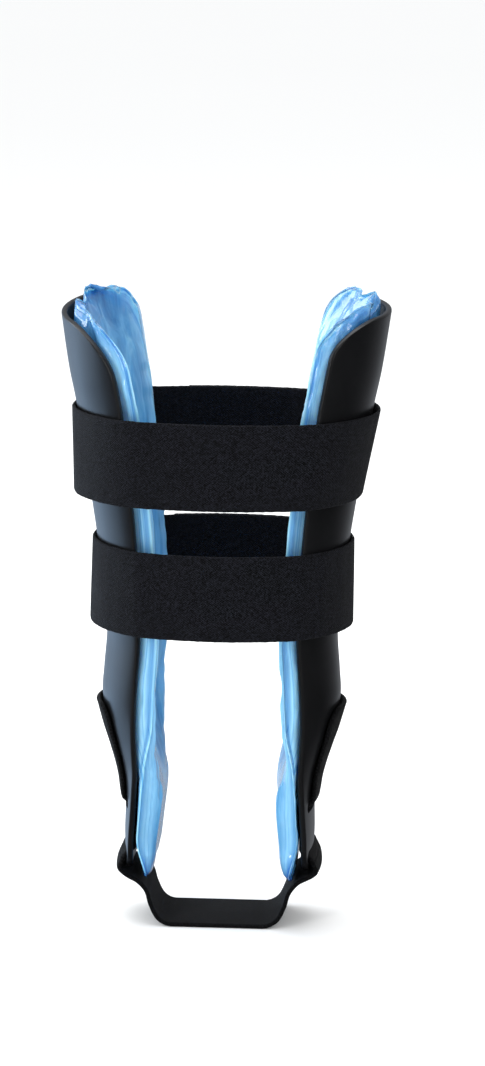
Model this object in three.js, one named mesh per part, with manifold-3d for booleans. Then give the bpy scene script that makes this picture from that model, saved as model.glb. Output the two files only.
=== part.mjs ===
// A stirrup ankle brace, worn on the right ankle and standing on its heel strap.
// Two moulded side shells hold a gel pad each, two hook-and-loop straps go round
// them, and a heel strap runs under the foot and is threaded through both shells.
// Millimetres. +X is the inner (medial) side, -Y the toes, +Z up. Until it is
// centred at the end, X and Y start midway between the shells.

import * as THREE from "three";
import Module from "manifold-3d";
import { mergeVertices } from "three/addons/utils/BufferGeometryUtils.js";

const wasm = await Module();
wasm.setup();

// Gap kept between pieces that lie against each other
const seatGap = 0.3;

// Side shells
const shellHeight = 241; // lower tip to rim, at mid depth
const shellFoot = 24; // lower tip above the resting surface
const shellWall = 2.5;
const rimReach = 69.3; // outer face of a shell at the rim, from the mid plane
const rimHalfDepth = 43.5; // half of the rim's chord, front to rear
const rimBow = 21.5; // how far the rim's arc bows out over that chord
const edgeRound = 0.8; // how far the wall's edge is rounded back
const footRound = 14; // height of the rounded lower end
const frontCornerDeep = 23; // the front upper corner, cut away for the shin
const frontCornerTall = 20;
const rearCornerDeep = 15;
const rearCornerTall = 17;
const cornerPower = 2.35; // 2 is an ellipse, more is squarer
const tipWall = 0.4; // share of the wall that is left at a shell's tips
const rimRise = 3; // the rim's rear corner above its middle

// Slots for the heel strap
const slotTall = 5.2;
const slotSide = 0.7; // clearance at each end of the strap's width
const lowerSlot = 33; // height of the slots' middles
const upperSlot = 55;

// Gel pads
const padThick = 10.5;
const padFoot = 19.2; // lower end above the resting surface
const padAboveRim = 3.6; // film above the rim
const padProud = 2.6; // cushion beyond the shell's front and rear edges
const padSeat = 0.4; // gap to the shell's inner face
const padTurn = 0.4; // how far the pad's thickness turns with the shell's curve
const padHugFrom = 0.7; // share of the way to an edge where it starts to hug the shell
const weldWide = 2.4; // welded border of the two films
const weldThick = 0.9;
const padFullness = 5; // more is flatter faces with tighter edges
const ruffleHigh = 26; // height of the slack film that gathers at the top
const ruffleDeep = 2.2; // how far that film waves in and out
const dentDeep = 1.6; // deepest dent in a pad

// Straps round both shells
const strapWide = 36.4;
const strapThick = 1.5;
const upperStrapTop = 223.8;
const lowerStrapTop = 168;
const upperStrapAhead = 8.4; // strap at the shin, ahead of the shells' front edges
const lowerStrapAhead = 8.3;
const strapCorner = 13; // bend of a strap round a shell's front or rear edge
const strapCornerAhead = 2; // degrees from the shell's edge to that bend
const strapTaper = 0.03; // share by which the front draws in at the lower edge
const strapEndLong = 62; // overlapping hook-and-loop end
const strapEndRound = 9;
const strapEndFrom = 0.13; // share of the way round where it starts

// Heel strap
const heelInset = 7.06; // shell's edge beyond the strap's, at the lower slot
const heelThick = 1.8;
const heelFlat = 20; // half of the length that lies on the surface
const heelTip = 97; // top of each free end
const heelTabGap = 0.5; // between a shell and the free end that lies on it
const heelTipRound = 8;
const heelTipLift = 0.8; // the tip's distance from the shell beyond that gap
const heelTipWidth = 0.76; // share of the rounding that the tip's end row keeps

// Outer face of a shell from foot to rim. height is a share of shellHeight, and
// reach, depth and bow are shares of the rim's.
const shellSections = [
  { height: 0.0, reach: 0.573, depth: 0.59, bow: 0.1 },
  { height: 0.06, reach: 0.588, depth: 0.606, bow: 0.135 },
  { height: 0.12, reach: 0.586, depth: 0.63, bow: 0.172 },
  { height: 0.16, reach: 0.597, depth: 0.66, bow: 0.237 },
  { height: 0.19, reach: 0.62, depth: 0.683, bow: 0.335 },
  { height: 0.226, reach: 0.658, depth: 0.708, bow: 0.447 },
  { height: 0.267, reach: 0.703, depth: 0.73, bow: 0.59 },
  { height: 0.315, reach: 0.735, depth: 0.749, bow: 0.716 },
  { height: 0.36, reach: 0.727, depth: 0.768, bow: 0.716 },
  { height: 0.433, reach: 0.71, depth: 0.79, bow: 0.712 },
  { height: 0.505, reach: 0.732, depth: 0.816, bow: 0.772 },
  { height: 0.6, reach: 0.775, depth: 0.857, bow: 0.856 },
  { height: 0.663, reach: 0.808, depth: 0.885, bow: 0.907 },
  { height: 0.832, reach: 0.903, depth: 0.966, bow: 1.01 },
  { height: 0.9, reach: 0.95, depth: 0.99, bow: 1.04 },
  { height: 1.0, reach: 1.0, depth: 1.0, bow: 1.0 },
];

// A gel pad from foot to top. height is a share of the pad's height; off, the
// extra distance from the shell's inner face, and thick are shares of padThick.
// hug is how far the front and rear edges are laid against the shell.
const padSections = [
  { height: 0.0, off: 0.44, hug: 0.0, thick: 0.0 },
  { height: 0.012, off: 0.38, hug: 0.15, thick: 0.32 },
  { height: 0.035, off: 0.33, hug: 0.5, thick: 0.56 },
  { height: 0.075, off: 0.3, hug: 0.95, thick: 0.74 },
  { height: 0.12, off: 0.28, hug: 1.0, thick: 0.84 },
  { height: 0.165, off: 0.25, hug: 1.0, thick: 0.94 },
  { height: 0.215, off: 0.06, hug: 0.85, thick: 1.03 },
  { height: 0.28, off: 0.0, hug: 0.1, thick: 1.08 },
  { height: 0.37, off: 0.0, hug: 0.0, thick: 1.04 },
  { height: 0.5, off: 0.0, hug: 0.0, thick: 0.92 },
  { height: 0.65, off: 0.0, hug: 0.0, thick: 0.92 },
  { height: 0.82, off: 0.0, hug: 0.0, thick: 0.9 },
  { height: 0.9, off: 0.03, hug: 0.0, thick: 0.8 },
  { height: 0.945, off: 0.1, hug: 0.0, thick: 0.62 },
  { height: 0.98, off: 0.27, hug: 0.0, thick: 0.34 },
  { height: 1.0, off: 0.45, hug: 0.0, thick: 0.0 },
];

// Each side's own rim. lift is the rim's height over shellHeight, rise a share of
// rimRise and corner a share of frontCornerTall.
const lateralRim = { lift: -1.2, rise: 1.4, corner: 1.2 };
const medialRim = { lift: 1.2, rise: 0.6, corner: 0.8 };

// Lobes and notches of the slack film along a pad's top. at is the place across
// the pad from -1 at the toes to 1 at the rear, wide a share of the half width,
// up a share of padAboveRim and out a share of ruffleDeep.
const lateralRuffles = [
  { at: -0.6, wide: 0.2, up: -0.15, out: 0.6 },
  { at: -0.28, wide: 0.2, up: 0.45, out: -0.8 },
  { at: 0.02, wide: 0.17, up: -0.5, out: 0.9 },
  { at: 0.42, wide: 0.26, up: 0.75, out: -0.7 },
  { at: 0.78, wide: 0.2, up: -0.3, out: 0.6 },
];
const medialRuffles = [
  { at: -0.55, wide: 0.2, up: 0.25, out: -0.7 },
  { at: -0.24, wide: 0.17, up: -0.5, out: 0.9 },
  { at: 0.12, wide: 0.24, up: 0.75, out: -0.8 },
  { at: 0.5, wide: 0.18, up: -0.35, out: 0.8 },
  { at: 0.78, wide: 0.18, up: 0.2, out: -0.5 },
];

// Dents pressed into a pad's leg side. height is a share of the pad's height, at
// a place across it, tall and wide its size as shares, deep a share of dentDeep.
const lateralDents = [
  { height: 0.86, at: -0.8, tall: 0.035, wide: 0.24, deep: 1.0 },
  { height: 0.78, at: -0.85, tall: 0.03, wide: 0.2, deep: 0.7 },
  { height: 0.9, at: -0.2, tall: 0.035, wide: 0.35, deep: 0.8 },
  { height: 0.3, at: 0.0, tall: 0.09, wide: 0.45, deep: 1.0 },
];
const medialDents = [
  { height: 0.84, at: -0.78, tall: 0.035, wide: 0.24, deep: 1.0 },
  { height: 0.88, at: 0.2, tall: 0.035, wide: 0.35, deep: 0.8 },
  { height: 0.3, at: 0.0, tall: 0.1, wide: 0.5, deep: 1.0 },
  { height: 0.2, at: -0.6, tall: 0.06, wide: 0.4, deep: 1.0 },
];

// How a strap stands off the shells, in shares of strapWide, at its top and lower
// edges. It is woven straight, so it doesn't follow the shells' taper.
const upperStrapSlack = {
  lateral: { top: 0.0, low: -0.02 },
  medial: { top: 0.035, low: -0.155 },
};
const lowerStrapSlack = {
  lateral: { top: 0.0, low: 0.024 },
  medial: { top: 0.0, low: 0.004 },
};

// The heel strap's route from its flat stretch up to the lower slot. across is a
// share of the way from heelFlat to the shell's face there, lateral and medial are
// how far each side is up, in shares of the slot's height.
const heelRoute = [
  { across: 0.126, lateral: 0.019, medial: 0.025 },
  { across: 0.272, lateral: 0.087, medial: 0.09 },
  { across: 0.432, lateral: 0.271, medial: 0.274 },
  { across: 0.55, lateral: 0.462, medial: 0.468 },
  { across: 0.745, lateral: 0.588, medial: 0.612 },
  { across: 0.93, lateral: 0.65, medial: 0.676 },
  { across: 1.055, lateral: 0.706, medial: 0.72 },
  { across: 1.14, lateral: 0.77, medial: 0.78 },
  { across: 1.085, lateral: 0.87, medial: 0.875 },
];

// Mesh fineness
const rowEase = 0.8; // 0 spaces rows evenly, 1 crowds them at both ends
const shellRows = 28;
const shellColumns = 11;
const padRows = 30;
const padColumns = 14;
const strapSteps = 60;
const strapRows = 2;
const heelStepLength = 4;
const heelColumns = 6;
const slotSteps = 5;

const black = { color: 0x17191c, roughness: 0.38, metalness: 0 };
const webbing = { color: 0x111214, roughness: 0.9, metalness: 0 };
const gelBlue = { color: 0x4f8fd6, roughness: 0.16, metalness: 0 };

const clamp = (v, low, high) => Math.min(high, Math.max(low, v));
const mix = (a, b, t) => a + (b - a) * t;
const smooth = (a, b, v) => {
  const t = clamp((v - a) / (b - a), 0, 1);
  return t * t * (3 - 2 * t);
};
const bump = (v, at, wide) => Math.exp(-(((v - at) / wide) ** 2));

// A column of a table at a height, on one smooth curve through its rows
function lookUp(table, column, height) {
  const last = table.length - 1;
  let i = 0;
  while (i < last - 1 && height > table[i + 1].height) i++;
  const slope = (k) => {
    const a = table[Math.max(0, k - 1)];
    const b = table[Math.min(last, k + 1)];
    return (b[column] - a[column]) / (b.height - a.height);
  };
  const [a, b] = [table[i], table[i + 1]];
  const span = b.height - a.height;
  const t = clamp((height - a.height) / span, 0, 1);
  const [t2, t3] = [t * t, t * t * t];
  return (
    (2 * t3 - 3 * t2 + 1) * a[column] +
    (t3 - 2 * t2 + t) * span * slope(i) +
    (3 * t2 - 2 * t3) * b[column] +
    (t3 - t2) * span * slope(i + 1)
  );
}

// A shell's section at a height z: an arc about (centre, 0) of that radius
function shellArc(z) {
  const height = clamp((z - shellFoot) / shellHeight, 0, 1);
  const reach = rimReach * lookUp(shellSections, "reach", height);
  const depth = rimHalfDepth * lookUp(shellSections, "depth", height);
  const bow = rimBow * lookUp(shellSections, "bow", height);
  const radius = (depth * depth + bow * bow) / (2 * bow);
  return { reach, depth, bow, radius, centre: reach - radius };
}

// Share of the half depth that is left where an end is rounded, d from its tip
function rounded(d, tall, deep, depth) {
  const t = clamp(1 - d / tall, 0, 1);
  return depth - deep * (1 - (1 - t ** cornerPower) ** (1 / cornerPower));
}

// The outline's front and rear at a height, for a shell or for the pad in it
function outline(z, foot, top, corner) {
  const depth = shellArc(z).depth;
  const atFoot = rounded(z - foot, footRound, depth, depth);
  const front = rounded(top - z, frontCornerTall * corner, frontCornerDeep, depth);
  const rear = rounded(top - z, rearCornerTall, rearCornerDeep, depth);
  return { front: -Math.min(atFoot, front), rear: Math.min(atFoot, rear) };
}

const rimOf = (form) => shellFoot + shellHeight + form.lift;

// Heights from foot to top, closer together where an end is rounded
function heights(foot, top, rows) {
  const out = [];
  for (let i = 0; i <= rows; i++) {
    const t = i / rows;
    const eased = mix(t, (1 - Math.cos(Math.PI * t)) / 2, rowEase);
    out.push(mix(foot, top, eased));
  }
  return out;
}

// A closed solid through rings of points. In each ring point k and point n - k
// face each other, so an open run of rings is capped straight across.
function skin(rings, looped = false) {
  const n = rings[0].length;
  const positions = rings.flat().flatMap((p) => [p.x, p.y, p.z]);
  const index = [];
  const spans = looped ? rings.length : rings.length - 1;
  for (let i = 0; i < spans; i++)
    for (let k = 0; k < n; k++) {
      const [a, b] = [i * n + k, i * n + ((k + 1) % n)];
      const next = ((i + 1) % rings.length) * n;
      const [c, d] = [next + k, next + ((k + 1) % n)];
      index.push(a, b, d, a, d, c);
    }
  if (!looped)
    for (const [start, turned] of [[0, true], [(rings.length - 1) * n, false]])
      for (let k = 0; k < n / 2; k++) {
        const corners = [k, k + 1, n - k - 1, (n - k) % n].map((j) => start + j);
        const [a, b, c, d] = turned ? corners.reverse() : corners;
        if (new Set([a, b, c]).size === 3) index.push(a, b, c);
        if (new Set([a, c, d]).size === 3) index.push(a, c, d);
      }
  const geometry = new THREE.BufferGeometry();
  geometry.setAttribute("position", new THREE.Float32BufferAttribute(positions, 3));
  geometry.setIndex(index);
  return facingOut(geometry);
}

function facingOut(geometry) {
  const p = geometry.getAttribute("position");
  const order = geometry.index.array;
  const [a, b, c] = [0, 1, 2].map(() => new THREE.Vector3());
  let volume = 0;
  for (let i = 0; i < order.length; i += 3) {
    a.fromBufferAttribute(p, order[i]);
    b.fromBufferAttribute(p, order[i + 1]);
    c.fromBufferAttribute(p, order[i + 2]);
    volume += a.dot(b.cross(c));
  }
  if (volume < 0)
    for (let i = 0; i < order.length; i += 3)
      [order[i], order[i + 1]] = [order[i + 1], order[i]];
  geometry.computeVertexNormals();
  return geometry;
}

function toManifold(geometry) {
  const bare = geometry.clone();
  bare.deleteAttribute("normal");
  bare.deleteAttribute("uv");
  const merged = mergeVertices(bare, 1e-4);
  return new wasm.Manifold(
    new wasm.Mesh({
      numProp: 3,
      vertProperties: merged.getAttribute("position").array,
      triVerts: new Uint32Array(merged.index.array),
    }),
  );
}

function fromManifold(solid) {
  const { vertProperties, triVerts } = solid.getMesh();
  const geometry = new THREE.BufferGeometry();
  geometry.setAttribute("position", new THREE.BufferAttribute(vertProperties, 3));
  geometry.setIndex(new THREE.BufferAttribute(triVerts, 1));
  geometry.computeVertexNormals();
  return geometry;
}

function named(name, geometry, finish) {
  const mesh = new THREE.Mesh(geometry, new THREE.MeshStandardMaterial(finish));
  mesh.name = name;
  return mesh;
}

// A point on a shell's section, pushed in from the outer face by inset. The rim
// rises to the rear.
function onShell(form, z, angle, inset) {
  const arc = shellArc(z);
  const y = (arc.radius - inset) * Math.sin(angle);
  const x = arc.centre + (arc.radius - inset) * Math.cos(angle);
  const near = smooth(rimOf(form) - rimHalfDepth, rimOf(form), z);
  const rise = rimRise * form.rise * (y / rimHalfDepth) * near;
  return new THREE.Vector3(form.side * x, y, z + rise);
}

function shellBody(form) {
  const top = rimOf(form);
  const rings = heights(shellFoot, top, shellRows).map((z, i, all) => {
    const arc = shellArc(z);
    const ends = outline(z, shellFoot, top, form.corner);
    const tip = i === 0 || i === all.length - 1;
    const front = Math.asin(Math.min(ends.front, -edgeRound * 2) / arc.radius);
    const rear = Math.asin(Math.max(ends.rear, edgeRound * 2) / arc.radius);
    const back = edgeRound / arc.radius;
    const thin = tip ? ((1 - tipWall) / 2) * shellWall : 0;
    const [outer, inner] = [thin, shellWall - thin];
    const at = (angle, inset) => onShell(form, z, angle, inset);
    const ring = [at(front, shellWall / 2)];
    for (let j = 0; j <= shellColumns; j++)
      ring.push(at(mix(front + back, rear - back, j / shellColumns), outer));
    ring.push(at(rear, shellWall / 2));
    for (let j = shellColumns; j >= 0; j--)
      ring.push(at(mix(front + back, rear - back, j / shellColumns), inner));
    return ring;
  });
  return skin(rings);
}

// Half of the heel strap's width, which the shells' lower ends leave room for
const heelHalf = shellArc(lowerSlot).depth - heelInset;

// A slot's cutter: a round-ended bar lying across the wall
function slotCutter(side, z) {
  const round = slotTall / 2;
  const half = heelHalf + slotSide + round;
  const shape = new THREE.Shape();
  shape.absarc(half - round, 0, round, -Math.PI / 2, Math.PI / 2);
  shape.absarc(round - half, 0, round, Math.PI / 2, (3 * Math.PI) / 2);
  const deep = shellArc(z).bow + shellWall * 4;
  const geometry = new THREE.ExtrudeGeometry(shape, {
    depth: deep,
    bevelEnabled: false,
    curveSegments: slotSteps,
  });
  geometry.rotateX(Math.PI / 2);
  geometry.rotateZ(Math.PI / 2);
  geometry.translate(side * shellArc(z).reach - deep / 2, 0, z);
  return geometry;
}

function shell(form) {
  const body = toManifold(shellBody(form));
  const slots = [lowerSlot, upperSlot].map((z) => toManifold(slotCutter(form.side, z)));
  return fromManifold(slots.reduce((solid, slot) => solid.subtract(slot), body));
}

// A gel pad: two films welded round their border, slack and gathered at the top.
// It is fuller straight across than along the shell's curve.
function gelPad(form) {
  const top = rimOf(form) + padAboveRim;
  const tall = top - padFoot;
  const seat = shellWall + padSeat;
  const rings = heights(padFoot, top, padRows).map((z) => {
    const height = (z - padFoot) / tall;
    const arc = shellArc(z);
    const ends = outline(z, padFoot, top, form.corner);
    const edge = (y) => {
      return Math.asin(y / arc.radius) + (Math.sign(y) * padProud) / arc.radius;
    };
    const [a0, a1] = [
      edge(Math.min(ends.front, -weldWide)),
      edge(Math.max(ends.rear, weldWide)),
    ];
    const off = padThick * lookUp(padSections, "off", height);
    const hug = lookUp(padSections, "hug", height);
    const thick = Math.max(weldThick, padThick * lookUp(padSections, "thick", height));
    const slack = smooth(top - ruffleHigh, top, z);
    const border = Math.min(0.4, weldWide / ((a1 - a0) * arc.radius));
    const puff = (share) => {
      const s = Math.abs(share) / (1 - 2 * border);
      return Math.max(weldThick / 2, (thick / 2) * Math.sqrt(Math.max(0, 1 - s ** padFullness)));
    };
    // face is 1 on the film at the shell, -1 on the leg's side and 0 on the border
    const place = (share, face) => {
      const angle = mix(a0, a1, (share + 1) / 2);
      const stand = off * (1 - hug * smooth(padHugFrom, 1, Math.abs(share)));
      const half = puff(share);
      const middle = mix(thick / 2, half, hug);
      let [inward, lift] = [stand + middle - half * face, 0];
      for (const r of form.ruffles) {
        inward += r.out * ruffleDeep * slack * bump(share, r.at, r.wide);
        lift += r.up * padAboveRim * slack * bump(share, r.at, r.wide);
      }
      if (face < 0)
        for (const d of form.dents)
          inward -=
            d.deep * dentDeep * bump(height, d.height, d.tall) * bump(share, d.at, d.wide);
      const p = onShell(form, z, angle, seat);
      p.x -= form.side * inward * Math.cos(angle * padTurn);
      p.y -= inward * Math.sin(angle * padTurn);
      p.z += lift;
      return p;
    };
    const across = [];
    for (let j = 0; j <= padColumns; j++)
      across.push(-Math.cos((Math.PI * j) / padColumns) * (1 - 2 * border));
    return [
      place(-1, 0),
      ...across.map((share) => place(share, 1)),
      place(1, 0),
      ...across.reverse().map((share) => place(share, -1)),
    ];
  });
  return skin(rings);
}

// Inner face of a strap in plan, as the arcs of one quarter: one that follows the
// shell, the bend round the shell's edge and a long one across the shin
function strapOval(z, ahead) {
  const arc = shellArc(z);
  const reachForward = arc.depth + ahead;
  const radius = arc.radius + seatGap;
  const bend = Math.asin(arc.depth / arc.radius) + strapCornerAhead * (Math.PI / 180);
  const kx = arc.centre + (radius - strapCorner) * Math.cos(bend);
  const ky = (radius - strapCorner) * Math.sin(bend);
  const gap = reachForward - ky;
  const long = (kx * kx + gap * gap - strapCorner ** 2) / (2 * (gap - strapCorner));
  const shin = { x: 0, y: reachForward - long, r: long };
  const turn = Math.atan2(ky - shin.y, kx);
  const arcs = [
    { x: arc.centre, y: 0, r: radius, from: 0, to: bend },
    { x: kx, y: ky, r: strapCorner, from: bend, to: turn },
    { ...shin, from: turn, to: Math.PI / 2 },
  ];
  return { arcs, lengths: arcs.map((a) => a.r * (a.to - a.from)) };
}

// The point and outward normal a share of the way round a strap's oval. 0 is the
// medial side, 0.25 the rear, 0.5 the lateral side and 0.75 the toes.
function onOval(oval, share) {
  const quarter = Math.floor(share * 4) % 4;
  const within = share * 4 - Math.floor(share * 4);
  const total = oval.lengths.reduce((a, b) => a + b, 0);
  let s = (quarter % 2 ? 1 - within : within) * total;
  let k = 0;
  while (k < 2 && s > oval.lengths[k]) s -= oval.lengths[k++];
  const a = oval.arcs[k];
  const angle = a.from + s / a.r;
  const [sx, sy] = [[1, 1], [-1, 1], [-1, -1], [1, -1]][quarter];
  return {
    x: sx * (a.x + a.r * Math.cos(angle)),
    y: sy * (a.y + a.r * Math.sin(angle)),
    nx: sx * Math.cos(angle),
    ny: sy * Math.sin(angle),
  };
}

// A strap's cross section a share of the way round, out from its inner face
function strapRing(strap, share, out, thick, wide = strapWide) {
  const p = onOval(strap.oval, share);
  const slack = p.x < 0 ? strap.slack.lateral : strap.slack.medial;
  const at = (down, off) => {
    const v = down / strapWide;
    const ease = mix(slack.top, slack.low, v) * strapWide;
    const x = p.x * (1 + ease / strap.half) + p.nx * off;
    const y = p.y * (1 - strapTaper * v) + p.ny * off;
    return new THREE.Vector3(x, y, strap.top - down);
  };
  const ring = [];
  const margin = (strapWide - wide) / 2;
  for (let i = 0; i <= strapRows; i++)
    ring.push(at(margin + (wide * i) / strapRows, out + thick));
  for (let i = strapRows; i >= 0; i--) ring.push(at(margin + (wide * i) / strapRows, out));
  return ring;
}

function strapOf(top, ahead, slack) {
  return { top, slack, oval: strapOval(top, ahead), half: shellArc(top).reach };
}

function strapLoop(strap) {
  const rings = [];
  for (let i = 0; i < strapSteps; i++)
    rings.push(strapRing(strap, i / strapSteps, 0, strapThick));
  return skin(rings, true);
}

// The free end of a strap, pressed on its own outside behind the inner shell
function strapEnd(strap) {
  const round = strap.oval.lengths.reduce((a, b) => a + b, 0) * 4;
  const steps = Math.round((strapSteps * strapEndLong) / round) + 4;
  const out = strapThick + seatGap;
  const rings = [];
  for (let i = 0; i <= steps; i++) {
    const along = (strapEndLong * (1 - Math.cos((Math.PI * i) / steps))) / 2;
    const near = Math.max(0, 1 - along / strapEndRound);
    const margin = strapEndRound * (1 - Math.sqrt(1 - near * near));
    const share = strapEndFrom + along / round;
    rings.push(strapRing(strap, share, out, strapThick, strapWide - 2 * margin));
  }
  return skin(rings);
}

// Middle line of the heel strap on one side, from the sole's middle to the tip. It
// goes in round the lips of the lower slot and out round those of the upper one.
function heelLine(side) {
  const half = heelThick / 2;
  const clear = half + seatGap;
  const face = (z) => shellArc(z).reach;
  const rising = new THREE.CatmullRomCurve3(
    [
      [heelFlat, half],
      ...heelRoute.map((r) => [
        mix(heelFlat, face(lowerSlot), r.across),
        mix(half, lowerSlot, r[side]),
      ]),
    ].map(([x, z]) => new THREE.Vector3(x, 0, z)),
    false,
    "centripetal",
  );
  const steps = Math.round(rising.getLength() / heelStepLength);
  const line = [[0, half], [heelFlat / 2, half]];
  line.push(...rising.getSpacedPoints(steps).map((p) => [p.x, p.z]));
  const rise = slotTall / 2;
  const lean = Math.atan2(shellWall, slotTall);
  const slant = lean + Math.asin((2 * clear) / Math.hypot(shellWall, slotTall));
  const lip = (x, z, outside, from, to) => {
    for (let i = 0; i <= 2; i++) {
      const turn = mix(from, to, i / 2);
      line.push([x + outside * clear * Math.cos(turn), z + clear * Math.sin(turn)]);
    }
  };
  lip(face(lowerSlot - rise), lowerSlot - rise, 1, 0, slant);
  lip(face(lowerSlot + rise) - shellWall, lowerSlot + rise, -1, -slant, 0);
  const middle = (lowerSlot + upperSlot) / 2;
  line.push([face(middle) - shellWall - clear, middle]);
  lip(face(upperSlot - rise) - shellWall, upperSlot - rise, -1, 0, slant);
  lip(face(upperSlot + rise), upperSlot + rise, 1, -slant, 0);
  const above = upperSlot + rise * 2;
  const tabSteps = 7;
  for (let i = 0; i <= tabSteps; i++) {
    const z = mix(above, heelTip, 1 - (1 - i / tabSteps) ** 1.5);
    line.push([face(z) + half + heelTabGap + heelTipLift * (i / tabSteps) ** 3, z]);
  }
  return line;
}

// The heel strap's rings on one side, from the sole's middle to the tip
function heelRings(line, toward) {
  const last = line.length - 1;
  const long = [0];
  for (let i = 1; i <= last; i++)
    long.push(long[i - 1] + Math.hypot(line[i][0] - line[i - 1][0], line[i][1] - line[i - 1][1]));
  return line.map(([x, z], i) => {
    const [before, after] = [line[Math.max(0, i - 1)], line[Math.min(last, i + 1)]];
    const slope = x > heelFlat ? Math.atan2(after[1] - before[1], after[0] - before[0]) : 0;
    const end = clamp(1 - (long[last] - long[i]) / heelTipRound, 0, 1);
    const half = heelHalf - heelTipRound * heelTipWidth * (1 - Math.sqrt(1 - end * end));
    const arc = shellArc(z);
    const bent = smooth(heelThick * 2, shellFoot, z);
    const at = (y, off) => {
      const fall = arc.radius - Math.sqrt(arc.radius ** 2 - y * y);
      return new THREE.Vector3(
        toward * (x - fall * bent + Math.sin(slope) * off),
        y,
        z - Math.cos(slope) * off,
      );
    };
    const ring = [];
    for (let j = 0; j <= heelColumns; j++)
      ring.push(at(mix(-half, half, j / heelColumns), heelThick / 2));
    for (let j = heelColumns; j >= 0; j--)
      ring.push(at(mix(-half, half, j / heelColumns), -heelThick / 2));
    return ring;
  });
}

function heelStrap() {
  const outer = heelRings(heelLine("lateral"), -1);
  const inner = heelRings(heelLine("medial"), 1);
  return skin([...outer.slice(1).reverse(), ...inner]);
}

const lateral = { side: -1, ...lateralRim, ruffles: lateralRuffles, dents: lateralDents };
const medial = { side: 1, ...medialRim, ruffles: medialRuffles, dents: medialDents };
const upperStrap = strapOf(upperStrapTop, upperStrapAhead, upperStrapSlack);
const lowerStrap = strapOf(lowerStrapTop, lowerStrapAhead, lowerStrapSlack);

const brace = new THREE.Group();
brace.add(
  named("lateral_shell", shell(lateral), black),
  named("medial_shell", shell(medial), black),
  named("lateral_gel_pad", gelPad(lateral), gelBlue),
  named("medial_gel_pad", gelPad(medial), gelBlue),
  named("upper_strap", strapLoop(upperStrap), webbing),
  named("upper_strap_end", strapEnd(upperStrap), webbing),
  named("lower_strap", strapLoop(lowerStrap), webbing),
  named("lower_strap_end", strapEnd(lowerStrap), webbing),
  named("heel_strap", heelStrap(), webbing),
);

// The origin is below the middle of the whole brace, on the resting surface
const box = new THREE.Box3().setFromObject(brace);
const middle = box.getCenter(new THREE.Vector3());
brace.position.set(-middle.x, -middle.y, -box.min.z);

export default brace;
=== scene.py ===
import math

import bmesh
import bpy
from mathutils import Matrix, Vector, noise


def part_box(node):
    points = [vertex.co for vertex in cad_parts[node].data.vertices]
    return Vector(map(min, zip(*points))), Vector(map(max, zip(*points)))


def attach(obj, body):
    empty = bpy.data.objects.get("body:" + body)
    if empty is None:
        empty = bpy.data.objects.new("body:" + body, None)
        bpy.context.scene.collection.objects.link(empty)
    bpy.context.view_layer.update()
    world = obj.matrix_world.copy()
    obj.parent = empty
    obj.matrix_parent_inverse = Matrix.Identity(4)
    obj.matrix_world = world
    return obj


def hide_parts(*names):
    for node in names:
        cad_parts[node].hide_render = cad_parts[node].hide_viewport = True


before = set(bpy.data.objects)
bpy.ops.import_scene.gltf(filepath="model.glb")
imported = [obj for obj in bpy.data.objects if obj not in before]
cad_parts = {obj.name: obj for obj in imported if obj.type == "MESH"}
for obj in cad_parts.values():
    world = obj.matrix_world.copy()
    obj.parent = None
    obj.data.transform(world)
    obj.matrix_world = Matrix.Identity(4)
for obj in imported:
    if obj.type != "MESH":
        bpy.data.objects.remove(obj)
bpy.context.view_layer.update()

MM = 0.001

# Sizes in millimetres, as in the solids
SEAT_GAP = 0.3
SHELL_HEIGHT = 241.0
SHELL_FOOT = 24.0
SHELL_WALL = 2.5
RIM_REACH = 69.3
RIM_HALF_DEPTH = 43.5
RIM_BOW = 21.5
FOOT_ROUND = 14.0
FRONT_CORNER_DEEP = 23.0
FRONT_CORNER_TALL = 20.0
REAR_CORNER_DEEP = 15.0
REAR_CORNER_TALL = 17.0
CORNER_POWER = 2.35
RIM_RISE = 3.0
SLOT_TALL = 5.2
SLOT_SIDE = 0.7
LOWER_SLOT = 33.0
UPPER_SLOT = 55.0
PAD_THICK = 10.5
PAD_FOOT = 19.2
PAD_ABOVE_RIM = 3.6
PAD_PROUD = 2.6
PAD_SEAT = 0.4
PAD_TURN = 0.4
PAD_HUG_FROM = 0.7
PAD_FULLNESS = 5.0
WELD_WIDE = 2.4
WELD_THICK = 0.9
RUFFLE_HIGH = 26.0
RUFFLE_DEEP = 2.2
DENT_DEEP = 1.6
STRAP_WIDE = 36.4
STRAP_THICK = 1.5
UPPER_STRAP_TOP = 223.8
LOWER_STRAP_TOP = 168.0
UPPER_STRAP_AHEAD = 8.4
LOWER_STRAP_AHEAD = 8.3
STRAP_CORNER = 13.0
STRAP_CORNER_AHEAD = 2.0
STRAP_TAPER = 0.03
STRAP_END_LONG = 62.0
STRAP_END_ROUND = 9.0
STRAP_END_FROM = 0.13
HEEL_INSET = 7.06
HEEL_THICK = 1.8
HEEL_FLAT = 20.0
HEEL_TIP = 97.0
HEEL_TAB_GAP = 0.5
HEEL_TIP_ROUND = 8.0
HEEL_TIP_LIFT = 0.8
HEEL_TIP_WIDTH = 0.76

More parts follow.
